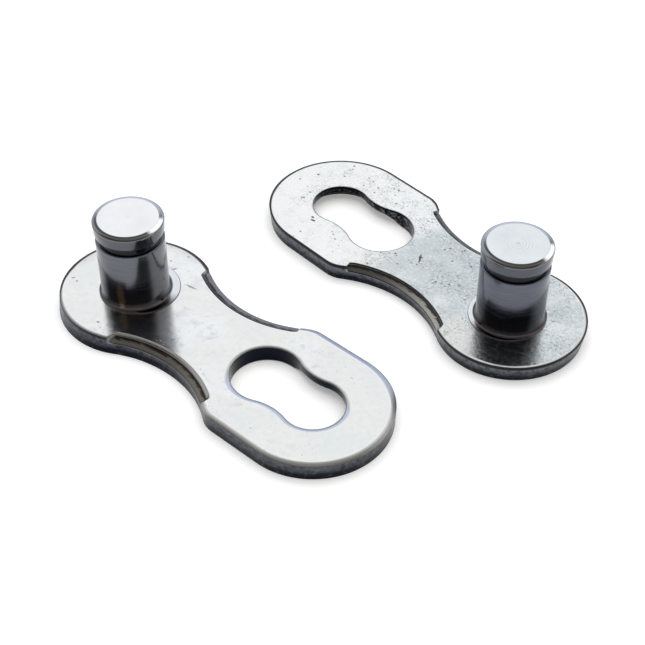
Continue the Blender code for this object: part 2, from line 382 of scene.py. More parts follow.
def mixed(low, high, share):
    """A value that goes from low to high as the share goes from 0 to 1."""
    return low + (high - low) * share


def smooth_step(low, high, value):
    """0 below low, 1 above high, with a smooth cubic rise between them."""
    t = np.clip((value - low) / (high - low), 0.0, 1.0)
    return t * t * (3.0 - 2.0 * t)


def shaded(color, factor):
    """A colour made darker or lighter by a factor."""
    return tuple(factor * v for v in color)


def arc(center, radius, start, end, step, sign=1.0):
    """Arc as rows of x, y, outward x, outward y: centre plus radius times the unit vector of
    the angle; the outward direction is that vector, or its opposite on a hollow arc."""
    count = max(3, int(round(radians(abs(end - start)) * radius / step)) + 1)
    angle = np.radians(np.linspace(start, end, count))
    way = np.column_stack([np.cos(angle), np.sin(angle)])
    return np.column_stack([np.asarray(center) + radius * way, sign * way])


def line(first, last, outward, step):
    """Straight run as rows of x, y, outward x, outward y, evenly stepped between two points."""
    first, last = np.asarray(first, float), np.asarray(last, float)
    count = max(2, int(round(np.linalg.norm(last - first) / step)) + 1)
    t = np.linspace(0.0, 1.0, count)[:, None]
    return np.column_stack([mixed(first, last, t), np.tile(outward, (count, 1))])


def end_to_end(*runs):
    """Runs joined without the doubled point where one ends and the next begins."""
    return np.vstack([run[:-1] for run in runs])


def plate_outline():
    """Plate outline, counter-clockwise from the top of the waist: round pin end, hollow waist,
    blended shoulder, straight flank, round slot end.  Returns its pin half and its slot half."""
    a, h, r = WAIST_AT, WAIST_HALF, PIN_END_R
    radius = (a * a + h * h - r * r) / (2.0 * (r - h))
    high = h + radius
    touch = degrees(atan2(high, a))
    blend_y = SLOT_END_R - SHOULDER_BLEND_R
    reach = radius + SHOULDER_BLEND_R
    blend_x = a + sqrt(reach ** 2 - (high - blend_y) ** 2)
    down = degrees(atan2(blend_y - high, blend_x - a))
    s = OUTLINE_STEP
    pin_half = end_to_end(
        arc((a, high), radius, -90.0, touch - 180.0, s, -1.0),
        arc((0.0, 0.0), r, touch, 360.0 - touch, s),
        arc((a, -high), radius, 180.0 - touch, 90.0, s, -1.0))
    slot_half = end_to_end(
        arc((a, -high), radius, 90.0, -down, s, -1.0),
        arc((blend_x, -blend_y), SHOULDER_BLEND_R, -180.0 - down, -90.0, s),
        line((blend_x, -SLOT_END_R), (SLOT_END_AT, -SLOT_END_R), (0.0, -1.0), s),
        arc((SLOT_END_AT, 0.0), SLOT_END_R, -90.0, 90.0, s),
        line((SLOT_END_AT, SLOT_END_R), (blend_x, SLOT_END_R), (0.0, 1.0), s),
        arc((blend_x, blend_y), SHOULDER_BLEND_R, 90.0, down + 180.0, s),
        arc((a, high), radius, down, -90.0, s, -1.0))
    return pin_half, slot_half


def mirrored(upper):
    """An upper run, from the right over the top to the left, closed by its mirror image."""
    lower = upper[::-1] * np.array([1.0, -1.0, 1.0, -1.0])
    return end_to_end(upper, lower)


def slot_outline():
    """Keyhole: wide lobe, two neck arcs tangent to both lobes, narrow locking lobe."""
    span = PITCH - SLOT_WIDE_AT
    wide = SLOT_WIDE_R + SLOT_NECK_ARC_R
    lock = SLOT_LOCK_R + SLOT_NECK_ARC_R
    along = (span ** 2 + wide ** 2 - lock ** 2) / (2.0 * span)
    high = sqrt(wide ** 2 - along ** 2)
    first = degrees(atan2(high, along))
    second = degrees(atan2(high, along - span))
    neck = (SLOT_WIDE_AT + along, high)
    s = SLOT_STEP
    upper = np.vstack([
        arc((PITCH, 0.0), SLOT_LOCK_R, 0.0, second, s)[:-1],
        arc(neck, SLOT_NECK_ARC_R, second - 180.0, first - 180.0, s, -1.0)[:-1],
        arc((SLOT_WIDE_AT, 0.0), SLOT_WIDE_R, first, 180.0, s)])
    return mirrored(upper)


def recess_outline():
    """Recess seen from below: round the locking lobe, straight back to the wide lobe's centre,
    a step in to the wide lobe, and round that."""
    s = SLOT_STEP
    upper = np.vstack([
        arc((PITCH, 0.0), POCKET_HALF, 0.0, 90.0, s)[:-1],
        line((PITCH, POCKET_HALF), (SLOT_WIDE_AT, POCKET_HALF), (0.0, 1.0), s)[:-1],
        line((SLOT_WIDE_AT, POCKET_HALF), (SLOT_WIDE_AT, SLOT_WIDE_R), (-0.7, 0.7), s)[:-1],
        arc((SLOT_WIDE_AT, 0.0), SLOT_WIDE_R, 90.0, 180.0, s)])
    return mirrored(upper)


def seen_from(run, heart, angles):
    """A closed run read off where rays from a point inside it, at these angles, cross it."""
    own = np.arctan2(run[:, 1], run[:, 0] - heart)
    order = np.argsort(own)
    own, run = own[order], run[order]
    found = [np.interp(angles, own, run[:, k], period=2.0 * pi) for k in range(4)]
    return np.column_stack(found)


def away_from_viewer(run, turn):
    """How far each point of a run faces away from the viewer, once the half is turned: the
    northward part of its outward direction."""
    return run[:, 2] * sin(turn) + run[:, 3] * cos(turn)


def rolled(wide, first, last, count):
    """Rolled-over edge as inset and drop: the slope grows evenly across its width from the
    first tilt to the last, so the drop is width times (a s + (b - a) s^2 / 2)."""
    s = np.linspace(0.0, 1.0, count)
    a, b = np.tan(np.radians(first)), np.tan(np.radians(last))
    return np.column_stack([wide * (1.0 - s), wide * (a * s + 0.5 * (b - a) * s * s)])


def flat_start(edge, first):
    """First rows of a section, flat on the face: far in, then close to where its edge starts."""
    insets = [FACE_INSET, edge + first] + [edge + ease for ease in EASES]
    return [[inset, PLATE_THICK] for inset in insets]


def wall_and_foot(high, foot_edge):
    """Last rows of a section: wall down from a height, quarter round foot edge, flat."""
    foot = np.radians(np.linspace(0.0, 90.0, FOOT_ROWS))
    wall = np.linspace(high, foot_edge + BEND_GAP, WALL_ROWS)
    return np.vstack([
        np.column_stack([np.zeros(WALL_ROWS), wall]),
        np.column_stack([foot_edge * (1.0 - np.cos(foot)), foot_edge * (1.0 - np.sin(foot))]),
        [[foot_edge + LOW_FLAT_EASE, 0.0], [LOW_FLAT_INSET, 0.0]]])


def plain_section(wide, tilts, foot_edge):
    """Plain section of the plate's edge from the face down, as inset from the outline and
    height: flat, rolled edge, small corner, wall, foot edge, flat."""
    t = PLATE_THICK
    roll = rolled(wide, tilts[0], tilts[1], ROLL_ROWS)
    roll[-1, 0] = CORNER
    top = t - roll[-1, 1]
    upper_wall = np.linspace(top - BEND_GAP, t - UPPER_WALL_END, len(BAND_ACROSS))
    return np.vstack([
        flat_start(wide, PLAIN_EASE),
        np.column_stack([roll[:, 0], t - roll[:, 1]]), [[0.0, top - CORNER]],
        np.column_stack([np.zeros_like(upper_wall), upper_wall]),
        wall_and_foot(t - LOWER_WALL_START, foot_edge)])


def band_section(wide, soft, fall, foot_edge):
    """Pressed section with the same count of points: flat, rolled lip, short step, sloped
    floor with a soft outer corner, wall, foot edge, flat."""
    t = PLATE_THICK
    roll = rolled(soft, BAND_TILT[0], BAND_TILT[1], LIP_ROWS)
    lip_drop = roll[-1, 1]
    start = lip_drop + BAND_FLOOR_START
    return np.vstack([
        flat_start(wide + soft, BAND_EASE),
        np.column_stack([wide + roll[:, 0], t - roll[:, 1]]),
        [[wide - inset, t - lip_drop - drop] for inset, drop in BAND_STEP],
        np.column_stack([wide * BAND_ACROSS, t - start - (fall - start) * BAND_DOWN]),
        wall_and_foot(t - fall - BAND_WALL_START, foot_edge)])


def rim_surface(rim, turn, look):
    """Rows of the plate's rim, and the values that its finish reads.  A point is the outline
    point moved inwards along the outward direction by the section's inset, less the lean of
    the wall at that height; the section changes from plain to pressed along the waist."""
    x = rim[:, 0]
    far = smooth_step(*FAR_RIM, away_from_viewer(rim, turn))
    at_pin, at_slot, at_far_slot = (
        plain_section(wide, look["tilt"], look["foot"])[:, None, :] for wide in look["roll"])
    near_band, far_band = (
        band_section(*look["band"], fall, look["foot"])[:, None, :]
        for fall in (BAND_FALL_NEAR, BAND_FALL_FAR))
    share = smooth_step(*look["share"], x)[None, :, None]
    plain = mixed(at_pin, mixed(at_slot, at_far_slot, far[None, :, None]), share)
    band = mixed(near_band, far_band, far[None, :, None])
    left_over = np.clip((BAND_TO - x) / BAND_CORNER_R, 0.0, 1.0)
    narrowed = mixed(BAND_END_WIDTH, 1.0, np.sqrt(1.0 - (1.0 - left_over) ** 2))
    band[LIP_FROM:PRESSED_WALL_FROM + 1, :, 0] *= narrowed[None, :]
    started = smooth_step(BAND_FROM, BAND_FROM + BAND_FROM_LONG, x)
    pressed = (started * (1.0 - smooth_step(BAND_TO - BAND_TO_LONG, BAND_TO, x)))[None, :]
    unpressed = 1.0 - pressed
    section = plain * unpressed[:, :, None] + band * pressed[:, :, None]
    inset, height = section[:, :, 0], section[:, :, 1]

    depth = (PLATE_THICK - height) / PLATE_THICK
    waist = smooth_step(*WAIST_BEGINS, x) * (1.0 - smooth_step(*WAIST_ENDS, x))
    all_round, far_side, far_waist = look["upper"]
    upper = all_round + (far_side + far_waist * waist) * far
    lower = mixed(*look["lower"], smooth_step(*LOWER_LEAN_CHANGES, x))
    lean = upper[None, :] * (1.0 - depth) + lower[None, :] * depth
    flat = rim[None, :, :2] - (inset - lean)[:, :, None] * rim[None, :, 2:]
    rows = np.concatenate([flat, height[:, :, None]], axis=2)

    far = far[None, :]
    row = np.arange(len(rows))[:, None]
    plain_wall = (row >= CORNER_ROW) & (row <= WALL_TO)
    pressed_wall = (row >= PRESSED_WALL_FROM) & (row <= WALL_TO)
    rolled_over = np.clip((row - FLAT_ROW) / mixed(ROLL_NEAR, ROLL_FAR, far), 0.0, 1.0)
    outward = np.clip((row - CORNER_ROW) / (FLOOR_TO - CORNER_ROW), 0.0, 1.0)
    # Painted shade: a dark outline along the top edge, fading with depth
    painted_outline = smooth_step(LINE_SOFT, -LINE_SOFT, inset - mixed(*look["line"], far))
    high_up = smooth_step(PLATE_THICK - LINE_DEEP[0], PLATE_THICK - LINE_DEEP[1], height)
    values = {
        "side": plain_wall * unpressed + pressed_wall * pressed,
        "press": ((row >= FLOOR_FROM) & (row <= FLOOR_TO)) * pressed,
        "roll": rolled_over * (row <= CORNER_ROW) * unpressed,
        "lip": ((row >= LIP_FROM) & (row <= LIP_TO)) * pressed,
        "outward": outward * pressed,
        "painted_outline": painted_outline * high_up * unpressed,
        # Painted highlight line on the last flat row, fainter on the near side
        "painted_sheen": (row == FLAT_ROW) * mixed(NEAR_PAINTED_SHEEN, 1.0, far),
        "far": far}
    return rows, values


def slot_section(mouth, recess, edge):
    """Section round the slot, from the face down: rolled edge, wall, underside of the web out
    to the recess wall, and the outer face.  The rolled edge has its own width at every column.
    The underside rises from the wide lobe to its full height; where there is no recess the
    wall runs straight on down."""
    point, into = mouth[:, :2] - SLOT_TIGHT * mouth[:, 2:], mouth[:, 2:]
    outer, out = recess[:, :2], recess[:, 2:]
    rise = smooth_step(SLOT_WIDE_AT, SLOT_WIDE_AT + WEB_RISE, mouth[:, :1])
    web = mixed(WEB_LOW, WEB_FLOOR, rise)
    roll = rolled(1.0, SLOT_TILT[0], SLOT_TILT[1], SLOT_ROLL_ROWS)
    corner = PLATE_THICK - roll[-1, 1] * edge - CORNER
    face = np.full_like(edge, PLATE_THICK)
    rows = [(point + (edge + ease) * into, face) for ease in SLOT_EASES]
    rows += [(point + np.maximum(inset * edge, SLOT_CORNER) * into, PLATE_THICK - drop * edge)
             for inset, drop in roll]
    rows += [(point, mixed(corner, web, part)) for part in SLOT_WALL_AT]
    rows += [(point + WEB_EDGE * into * rise, web)]
    rows += [(mixed(point, outer, part), web - WEB_FALL * part) for part in WEB_AT]
    rows += [(outer + inset * out, web * share) for inset, share in RECESS_AT]
    return np.stack([np.column_stack(row) for row in rows])


def slot_surface(ring, turn, look):
    """Rows round the slot, at the angles of a ring round it, and the values that its finish
    reads."""
    angles = np.arctan2(ring[:, 1], ring[:, 0] - SLOT_HEART)
    mouth = seen_from(slot_outline(), SLOT_HEART, angles)
    away = smooth_step(*FAR_SLOT, -away_from_viewer(mouth, turn))
    edge = mixed(*look["slot"], away[:, None])
    rows = slot_section(mouth, seen_from(recess_outline(), SLOT_HEART, angles), edge)
    away = away[None, :]
    row = np.arange(len(rows))[:, None]
    wall = (row >= SLOT_CORNER_ROW) & (row <= SLOT_WALL_TO)
    rolled_over = np.clip((row - SLOT_FLAT_ROW) / mixed(ROLL_NEAR, ROLL_FAR, away), 0.0, 1.0)
    values = {
        "slot": wall.astype(float),
        "roll": rolled_over * (row <= SLOT_CORNER_ROW),
        "far": away}
    return rows, values


def hole_surface(ring):
    """Rows round the pin hole, at the angles of a ring round it: a small edge break, the bore,
    and the flare for the tail."""
    angles = np.arctan2(ring[:, 1], ring[:, 0])
    way = np.column_stack([np.cos(angles), np.sin(angles)])
    t = PLATE_THICK
    narrow, wide = TAIL_R + HOLE_GAP, TAIL_HEAD_R + HOLE_GAP
    section = [(narrow + BORE_EASE, t), (narrow + BORE_BREAK, t), (narrow, t - BORE_BREAK),
               (narrow, BORE_MIDDLE), (narrow, TAIL_HEAD_TALL), (wide, 0.0), (wide + BORE_EASE, 0.0)]
    rows = np.stack([np.column_stack([r * way, np.full(len(way), z)]) for r, z in section])
    side = (rows[:, :, 2] < t) & (rows[:, :, 2] > 0.0)
    return rows, {"side": side.astype(float)}


def face_rings(outer, inner, count):
    """Rows of points between an outer and an inner ring, evenly mixed, ends left out."""
    parts = np.linspace(0.0, 1.0, count + 2)[1:-1]
    return np.stack([mixed(outer, inner, part) for part in parts])


class Shell:
    """Points, faces and named values of one piece, gathered row by row."""

    def __init__(self, names):
        self.points, self.faces, self.count = [], [], 0
        self.values = {name: [] for name in names}

    def add(self, rows, **values):
        """Keeps rows of points with their values, and returns their numbers."""
        rows = np.asarray(rows, float)
        flat = rows.reshape(-1, 3)
        numbers = np.arange(self.count, self.count + len(flat)).reshape(rows.shape[:-1])
        self.points.append(flat)
        self.count += len(flat)
        for name, kept in self.values.items():
            kept.append(np.broadcast_to(values.get(name, 0.0), rows.shape[:-1]).reshape(-1))
        return numbers

    def at(self, numbers):
        """The points that have these numbers."""
        return np.vstack(self.points)[numbers]

    def strip(self, rows, flip=False):
        """Faces between each row of numbers and the next, closed round."""
        for upper, lower in zip(rows[:-1], rows[1:]):
            found = np.column_stack([upper, np.roll(upper, -1), np.roll(lower, -1), lower])
            self.faces.append(found[:, ::-1] if flip else found)


def piece_from(name, shell, place):
    """Mesh of a shell, turned and moved to its place on the table, smooth all over."""
    points = np.vstack(shell.points)
    (x, y), turn = place
    c, s = cos(radians(turn)), sin(radians(turn))
    moved = np.column_stack([
        points[:, 0] * c - points[:, 1] * s + x - MIDDLE[0],
        points[:, 0] * s + points[:, 1] * c + y - MIDDLE[1],
        points[:, 2]]) * MM
    faces = [face for block in shell.faces for face in block.tolist()]
    mesh = bpy.data.meshes.new(name)
    mesh.from_pydata(moved.tolist(), [], faces)
    for key, kept in shell.values.items():
        layer = mesh.attributes.new(key, "FLOAT", "POINT")
        layer.data.foreach_set("value", np.concatenate(kept).astype(np.float32))
    mesh.polygons.foreach_set("use_smooth", np.ones(len(mesh.polygons), bool))
    mesh.update()
    return placed(name, mesh)


def placed(name, data):
    """An object made of a mesh, lamp or camera, linked into the scene."""
    obj = bpy.data.objects.new(name, data)
    bpy.context.scene.collection.objects.link(obj)
    return obj


def plate_piece(name, place, look):
    """Whole plate: its rim, the pin hole and the slot, and straight mixes between their rings
    for both faces.  A seam across the waist parts each face in a half for each hole."""
    pin_half, slot_half = plate_outline()
    split = len(pin_half)
    turn = radians(place[1])
    shell = Shell(("side", "press", "roll", "lip", "outward", "slot", "painted_outline", "painted_sheen", "far"))
    rows, values = rim_surface(np.vstack([pin_half, slot_half]), turn, look)
    rim = shell.add(rows, **values)
    shell.strip(rim, flip=True)

    def parted(row):
        """Rings of numbers round the pin half and the slot half of a row of the rim."""
        t = np.linspace(0.0, 1.0, SEAM_STEPS + 2)[1:-1, None]
        seam = shell.add(mixed(rows[row, split], rows[row, 0], t))
        at_pin = np.concatenate([rim[row, :split + 1], seam])
        at_slot = np.concatenate([rim[row, split:], rim[row, :1], seam[::-1]])
        return at_pin, at_slot

    pin_top, slot_top = parted(0)
    pin_low, slot_low = parted(-1)
    rows_of_hole, values = hole_surface(shell.at(pin_top))
    hole = shell.add(rows_of_hole, **values)
    shell.strip(hole)
    rows_of_slot, values = slot_surface(shell.at(slot_top), turn, look)
    slot = shell.add(rows_of_slot, **values)
    shell.strip(slot)
    for ring, inner, flip in ((pin_top, hole[0], False), (slot_top, slot[0], False),
                              (pin_low, hole[-1], True), (slot_low, slot[-1], True)):
        between = shell.add(face_rings(shell.at(ring), shell.at(inner), FACE_RINGS))
        shell.strip(np.vstack([ring[None], between, inner[None]]), flip)
    return piece_from(name, shell, place)


def rounded(corner_a, corner, corner_b, radius):
    """Points that round off a corner of a section, by a quadratic curve with equal legs."""
    a, b, c = (np.asarray(v, float) for v in (corner_a, corner, corner_b))
    first = b + (a - b) / np.linalg.norm(a - b) * radius
    last = b + (c - b) / np.linalg.norm(c - b) * radius
    t = np.linspace(0.0, 1.0, ROUND_ROWS)[:, None]
    return first * (1 - t) ** 2 + 2 * b * t * (1 - t) + last * t ** 2


def pin_section():
    """Half section of the pin from the top centre down to the centre of the riveted tail."""
    quarter = np.radians(np.linspace(0.0, 90.0, RIM_ROWS))
    rim_low = PIN_TOP - RIM_DROP
    rim = np.column_stack([
        PIN_TOP_R + (PIN_RIM_R - PIN_TOP_R) * np.sin(quarter),
        PIN_TOP - RIM_DROP * (1.0 - np.cos(quarter))])
    head_foot, root = (HEAD_FOOT_R, HEAD_BOTTOM), (GROOVE_R, HEAD_BOTTOM - ROOT_FALL)
    groove_foot, ledge_end = (GROOVE_R, GROOVE_BOTTOM), (PIN_R, GROOVE_BOTTOM - ROOT_FALL)
    shoulder = (PIN_R, GROOVE_BOTTOM - LEDGE_ROUND)
    part = np.sin(np.radians(np.linspace(0.0, 90.0, FOOT_FLARE_ROWS)))
    lip_top = PIN_SEAT + LIP_TALL
    lip_corner = (LIP_R - LIP_ROUND, lip_top)
    flare = np.column_stack([
        PIN_R + (FOOT_R - PIN_R) * (1.0 - np.sqrt(1.0 - part ** 2)),
        lip_top + FOOT_TALL * (1.0 - part)])
    tail = mixed(TAIL_R, TAIL_HEAD_R, (TAIL_HEAD_TALL - TAIL_LIFT) / TAIL_HEAD_TALL)
    return np.vstack([
        [[r, PIN_TOP] for r in (POLE_R, *END_FACE_AT, PIN_TOP_R - END_FACE_EDGE)],
        rim, [[PIN_RIM_R, rim_low - HEAD_ROUND]],
        [[0.5 * (PIN_RIM_R + HEAD_FOOT_R), 0.5 * (PIN_TOP + HEAD_BOTTOM)]],
        rounded((PIN_RIM_R, rim_low), head_foot, root, HEAD_ROUND),
        rounded(head_foot, root, groove_foot, ROOT_ROUND),
        rounded((GROOVE_R, HEAD_BOTTOM), groove_foot, ledge_end, LEDGE_ROUND),
        rounded(groove_foot, shoulder, (PIN_R, BODY_AT[1]), SHOULDER_ROUND),
        [[PIN_R, z] for z in BODY_AT],
        flare, [[FOOT_R + 0.04, lip_top]],
        rounded((FOOT_R, lip_top), lip_corner, (LIP_R, PIN_SEAT), LIP_ROUND),
        [[LIP_R, PIN_SEAT], [TAIL_R, PIN_SEAT], [TAIL_R, BORE_MIDDLE], [TAIL_R, TAIL_HEAD_TALL],
         [tail, TAIL_LIFT + 0.01], [tail - TAIL_CORNER, TAIL_LIFT]],
        [[r, TAIL_LIFT] for r in (0.5 * TAIL_R, POLE_R)]])


def pin_piece(name, place, look):
    """Whole pin: the half section turned about the pin's axis, with both poles closed.  The
    lip at its foot is squeezed out to one side, by the root of the cosine of the angle to it."""
    section = pin_section()
    step = np.linalg.norm(np.diff(section, axis=0), axis=1)
    section = section[np.concatenate([[True], step > SAME_POINT])]
    radius, height = section[:, :1], section[:, 1:]
    angle = np.linspace(0.0, 2.0 * pi, PIN_COLUMNS, endpoint=False)
    facing = angle + radians(place[1])
    squeezed_way, squeezed_far = look["lip"]
    toward = np.clip(np.cos(facing - radians(squeezed_way)), 0.0, 1.0)
    lip_wide = LIP_LEAST + squeezed_far * np.sqrt(toward)
    on_lip = (radius > FOOT_R) & (height < LIP_BELOW)
    out = FOOT_R + (radius - FOOT_R) * np.where(on_lip, lip_wide / (LIP_R - FOOT_R), 1.0)
    level = np.broadcast_to(height, out.shape)
    rows = np.stack([out * np.cos(angle), out * np.sin(angle), level], axis=2)

    disc = (level > PIN_TOP - 0.004) * (out < PIN_TOP_R - 0.01)
    low = level < 2.0
    painted_glint = np.cos(np.radians(PAINTED_GLINT_HALF))
    values = {
        "ground": disc,
        "rim": (level > PIN_TOP - RIM_DROP - 0.03) * (1.0 - disc),
        "foot": smooth_step(PIN_R + 0.02, FOOT_R - 0.02, out) * low * (level > 0.9),
        "lip": (out > FOOT_R + 0.005) * (level > PIN_SEAT + LIP_TALL - 0.02) * low,
        "groove": (level > GROOVE_BOTTOM - 0.01) * (level < HEAD_BOTTOM - 0.005),
        "north": (0.5 + 0.5 * np.sin(facing))[None, :],
        "east": (0.5 + 0.5 * np.cos(facing))[None, :],
        # Where the painted highlight lies round the rim
        "painted_glint": smooth_step(*painted_glint, np.cos(facing - radians(PAINTED_GLINT_WAY)))[None, :]}
    shell = Shell(tuple(values))
    numbers = shell.add(rows, **values)
    shell.strip(numbers, flip=True)
    for ring, pole_height, flip, ground in (
            (numbers[0], PIN_TOP, False, 1.0), (numbers[-1], TAIL_LIFT, True, 0.0)):
        pole = shell.add([[[0.0, 0.0, pole_height]]], ground=ground)[0, 0]
        fan = np.column_stack([ring, np.roll(ring, -1), np.full(len(ring), pole)])
        shell.faces.append(fan[:, ::-1] if flip else fan)
    return piece_from(name, shell, place)


class Recipe:
    """A node tree under construction, with short calls for the nodes that it is made of."""

    def __init__(self, tree):
        self.tree = tree

    def feed(self, socket, value):
        """Another node's outcome linked to a socket, or a plain value set on it."""
        if isinstance(value, bpy.types.NodeSocket):
            self.tree.links.new(value, socket)
        elif socket.type == "RGBA":
            socket.default_value = (*value, 1.0)
        else:
            socket.default_value = value

    def node(self, kind, feeds, **settings):
        """A new node with its settings, its sockets fed by name or number; returns what it gives."""
        made = self.tree.nodes.new(kind)
        for key, value in settings.items():
            setattr(made, key, value)
        for key, value in feeds.items():
            self.feed(made.inputs[key], value)
        return made.outputs

    def math(self, operation, *values):
        return self.node("ShaderNodeMath", dict(enumerate(values)), operation=operation)[0]

    def plus(self, a, b):
        return self.math("ADD", a, b)

    def less(self, a, b):
        return self.math("SUBTRACT", a, b)

    def times(self, a, b):
        return self.math("MULTIPLY", a, b)

    def most(self, a, b):
        return self.math("MAXIMUM", a, b)

    def vector(self, operation, *values):
        """Vector maths; its outcome is a vector, or a number for LENGTH."""
        made = self.node("ShaderNodeVectorMath", dict(enumerate(values)), operation=operation)
        return made["Value" if operation == "LENGTH" else "Vector"]

    def part(self, vector, axis):
        return self.node("ShaderNodeSeparateXYZ", {"Vector": vector})[axis]

    def span(self, value, low, high, to_low=0.0, to_high=1.0):
        """A value's own range mapped smoothly to another range."""
        feeds = {"Value": value, "From Min": low, "From Max": high, "To Min": to_low, "To Max": to_high}
        return self.node("ShaderNodeMapRange", feeds, interpolation_type="SMOOTHSTEP")["Result"]

    def blend(self, share, a, b):
        """The colour a, gone over to b by a share."""
        feeds = {"Factor": share, "A": a, "B": b}
        return self.node("ShaderNodeMix", feeds, data_type="RGBA")["Result"]


class Finish(Recipe):
    """A material under construction."""

    def __init__(self, name):
        self.material = bpy.data.materials.new(name)
        self.material.use_nodes = True
        super().__init__(self.material.node_tree)
        self.shader = self.tree.nodes["Principled BSDF"]

    def chart(self, vector, at, size, turn=0.0):
        """A vector read from a place, turned back, and counted in sizes."""
        feeds = {"Vector": vector, "Location": at, "Rotation": (0.0, 0.0, radians(turn)), "Scale": size}
        return self.node("ShaderNodeMapping", feeds, vector_type="TEXTURE")["Vector"]

    def spot(self, place):
        """Object coordinates turned into millimetres along and across the half."""
        (x, y), turn = place
        where = self.node("ShaderNodeTexCoord", {})["Object"]
        return self.chart(where, ((x - MIDDLE[0]) * MM, (y - MIDDLE[1]) * MM, 0.0), (MM, MM, MM), turn)

    def value(self, name):
        """A value that the piece's own mesh carries."""
        return self.node("ShaderNodeAttribute", {}, attribute_name=name)["Fac"]

    def noise(self, vector, scale, detail=2.0, roughness=0.5, distortion=0.0):
        feeds = {"Vector": vector, "Scale": scale, "Detail": detail, "Roughness": roughness}
        return self.node("ShaderNodeTexNoise", {**feeds, "Distortion": distortion})["Fac"]

    def nudged(self, vector, scale, reach):
        """A vector moved about by a noise, so that cells lose their even shape."""
        noise = self.node("ShaderNodeTexNoise", {"Vector": vector, "Scale": scale})["Color"]
        return self.vector("ADD", vector, self.vector("MULTIPLY", noise, (reach, reach, reach)))

    def cells(self, vector, scale):
        return self.node("ShaderNodeTexVoronoi", {"Vector": vector, "Scale": scale})["Distance"]

    def ramp(self, value, stops):
        """Colours read off between stops, each a place from 0 to 1 and its colour."""
        made = self.tree.nodes.new("ShaderNodeValToRGB")
        elements = made.color_ramp.elements
        while len(elements) < len(stops):
            elements.new(0.5)
        for element, (at, color) in zip(elements, stops):
            element.position = at
            element.color = (*color, 1.0)
        self.feed(made.inputs["Fac"], value)
        return made.outputs["Color"]

    def dent(self, vector, at, size, turn, soft):
        """A small mark: 1 inside an oval at a place on the half, 0 outside, ragged between."""
        oval = self.chart(vector, (*at, PLATE_THICK), (*size, 1.0), turn)
        ragged = self.span(self.noise(vector, 9.0, 3.0), 0.2, 0.8, -0.35, 0.35)
        away = self.plus(self.vector("LENGTH", oval), ragged)
        return self.span(away, 1.0 - soft, 1.0 + soft, 1.0, 0.0)

    def dents(self, vector, marks, soft):
        """Several small marks together."""
        together, *others = [self.dent(vector, *mark, soft) for mark in marks]
        for other in others:
            together = self.most(together, other)
        return together

    def laid(self, color, regions):
        """A colour with others laid over it, each by the mesh's value of that name."""
        for name, over in regions.items():
            color = self.blend(self.value(name), color, over)
        return color

    def metal(self, color, rough):
        """Bare metal of a colour and a roughness."""
        self.feed(self.shader.inputs["Base Color"], color)
        self.shader.inputs["Metallic"].default_value = 1.0
        self.feed(self.shader.inputs["Roughness"], rough)

    def relief(self, height, distance, strength):
        feeds = {"Height": height, "Distance": distance, "Strength": strength}
        self.feed(self.shader.inputs["Normal"], self.node("ShaderNodeBump", feeds)["Normal"])


def plate_walls(f, where, shades):
    """Colour of the sheared edge: burnished slate under the face, torn and darker below, the darkening
    partly the torn zone and partly painted contact shade.
    """
    wavy = f.span(f.noise(where, 1.6, 3.0), 0.2, 0.8, -0.05, 0.05)
    color = f.ramp(f.plus(f.part(where, 2), wavy), shades)
    streak = f.noise(where, 4.0, 4.0, 0.7)
    color = f.blend(f.span(streak, 0.46, 0.66, 0.0, 0.75), color, TORN_DARK)
    return f.blend(f.span(streak, 0.46, 0.32, 0.0, 0.30), color, TORN_BRIGHT)


def band_floor(f, where, inner, outer, painted_dark_line):
    """Colour of the pressed band: dark against the step, a painted shade under its lip, lighter and
    streaky outwards, and a painted dark line, a painted shade, on its outer corner."""
    outward = f.value("outward")
    streaks = f.noise(f.vector("MULTIPLY", where, (1.2, 6.0, 1.2)), 1.4, 3.0, 0.6)
    share = f.plus(outward, f.span(streaks, 0.25, 0.75, -0.14, 0.14))
    stops = [(0.0, shaded(inner, 0.4)), (0.10, inner), (0.31, shaded(inner, 1.4)), (0.46, outer)]
    return f.blend(f.span(outward, 0.78, 0.94, 0.0, painted_dark_line), f.ramp(share, stops), PAINTED_BAND_LINE)


def rougher_edges(f, rough, more):
    """A roughness with more on the sheared wall and the pressed band."""
    return f.plus(rough, f.times(f.plus(f.value("side"), f.value("press")), more))


